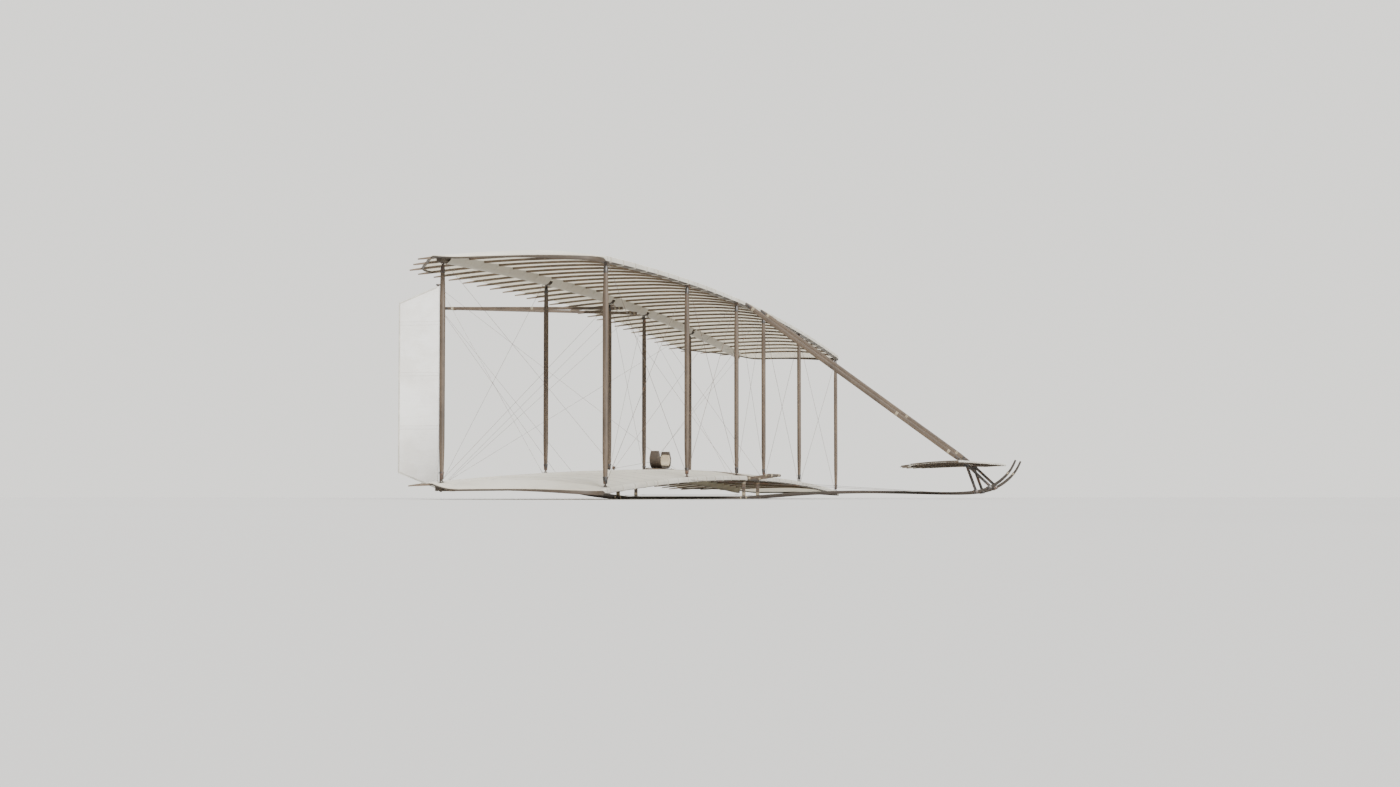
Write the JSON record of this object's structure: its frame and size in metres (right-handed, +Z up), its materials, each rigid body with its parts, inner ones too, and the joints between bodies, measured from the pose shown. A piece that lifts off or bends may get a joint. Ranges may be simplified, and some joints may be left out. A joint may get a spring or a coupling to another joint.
{
  "type": "biplane glider",
  "caption": "Full-size cloth-covered biplane glider with a pivoted front elevator, a hinged rear rudder, strutted drooping wings and a pair of landing skids.",
  "frame": {"origin": "on the floor under the middle of the glider's own box, with both skids standing on Z = 0", "axes": "+X to the port wing tip, +Y aft, so the elevator is at -Y, and +Z up"},
  "size_m": [9.778, 5.0858, 1.78],
  "materials": {
    "boom_wood": "planed spruce",
    "edge_wood": "bent ash strip",
    "elevator_cloth": "plain-woven unbleached muslin",
    "frame_wood": "spruce spars and bent ash ribs",
    "iron": "forged iron, blackened",
    "rudder_cloth": "plain-woven bleached muslin",
    "seat_wood": "planed ash, handled",
    "skid_wood": "bent ash, worn at the sole",
    "strut_wood": "planed spruce, varnished",
    "wing_cloth": "plain-woven unbleached muslin",
    "wire": "drawn steel wire, dull"
  },
  "bodies": {
    "airframe": {"cradle_board": "seat_wood", "elevator_bracket_port": "iron", "elevator_bracket_starboard": "iron", "elevator_outrigger_port": "boom_wood", "elevator_outrigger_starboard": "boom_wood", "foot_bar": "seat_wood", "hand_bar": "seat_wood", "hip_cradle": "seat_wood", "lower_wing_cover_port": "wing_cloth", "lower_wing_cover_starboard": "wing_cloth", "lower_wing_frame": "frame_wood", "rudder_post": "boom_wood", "skid_port": "skid_wood", "skid_post_front_port": "skid_wood", "skid_post_front_starboard": "skid_wood", "skid_post_rear_port": "skid_wood", "skid_post_rear_starboard": "skid_wood", "skid_starboard": "skid_wood", "stay_flying_inner_port": "wire", "stay_flying_inner_starboard": "wire", "stay_flying_outer_port": "wire", "stay_flying_outer_starboard": "wire", "stay_landing_inner_port": "wire", "stay_landing_inner_starboard": "wire", "stay_landing_outer_port": "wire", "stay_landing_outer_starboard": "wire", "stay_skid_port": "wire", "stay_skid_starboard": "wire", "strut_front_inner_port": "strut_wood", "strut_front_inner_starboard": "strut_wood", "strut_front_middle_port": "strut_wood", "strut_front_middle_starboard": "strut_wood", "strut_front_outer_port": "strut_wood", "strut_front_outer_starboard": "strut_wood", "strut_rear_inner_port": "strut_wood", "strut_rear_inner_starboard": "strut_wood", "strut_rear_middle_port": "strut_wood", "strut_rear_middle_starboard": "strut_wood", "strut_rear_outer_port": "strut_wood", "strut_rear_outer_starboard": "strut_wood", "tail_boom_lower_port": "boom_wood", "tail_boom_lower_starboard": "boom_wood", "tail_boom_upper_port": "boom_wood", "tail_boom_upper_starboard": "boom_wood", "upper_wing_cover": "wing_cloth", "upper_wing_frame": "frame_wood"},
    "elevator": {"elevator_cover": "elevator_cloth", "elevator_frame": "edge_wood"},
    "rudder": {"rudder_cover_port": "rudder_cloth", "rudder_cover_starboard": "rudder_cloth", "rudder_frame": "edge_wood"}
  },
  "joints": [
    {"name": "elevator_pitch", "type": "hinge", "parent": "airframe", "child": "elevator", "pos_m": [0, -2.1571, 0.268], "axis": [1, 0, 0], "range_deg": [-20, 20]},
    {"name": "rudder_turn", "type": "hinge", "parent": "airframe", "child": "rudder", "pos_m": [0, 2.2079, 0.9], "axis": [0, 0, 1], "range_deg": [-25, 25]}
  ]
}
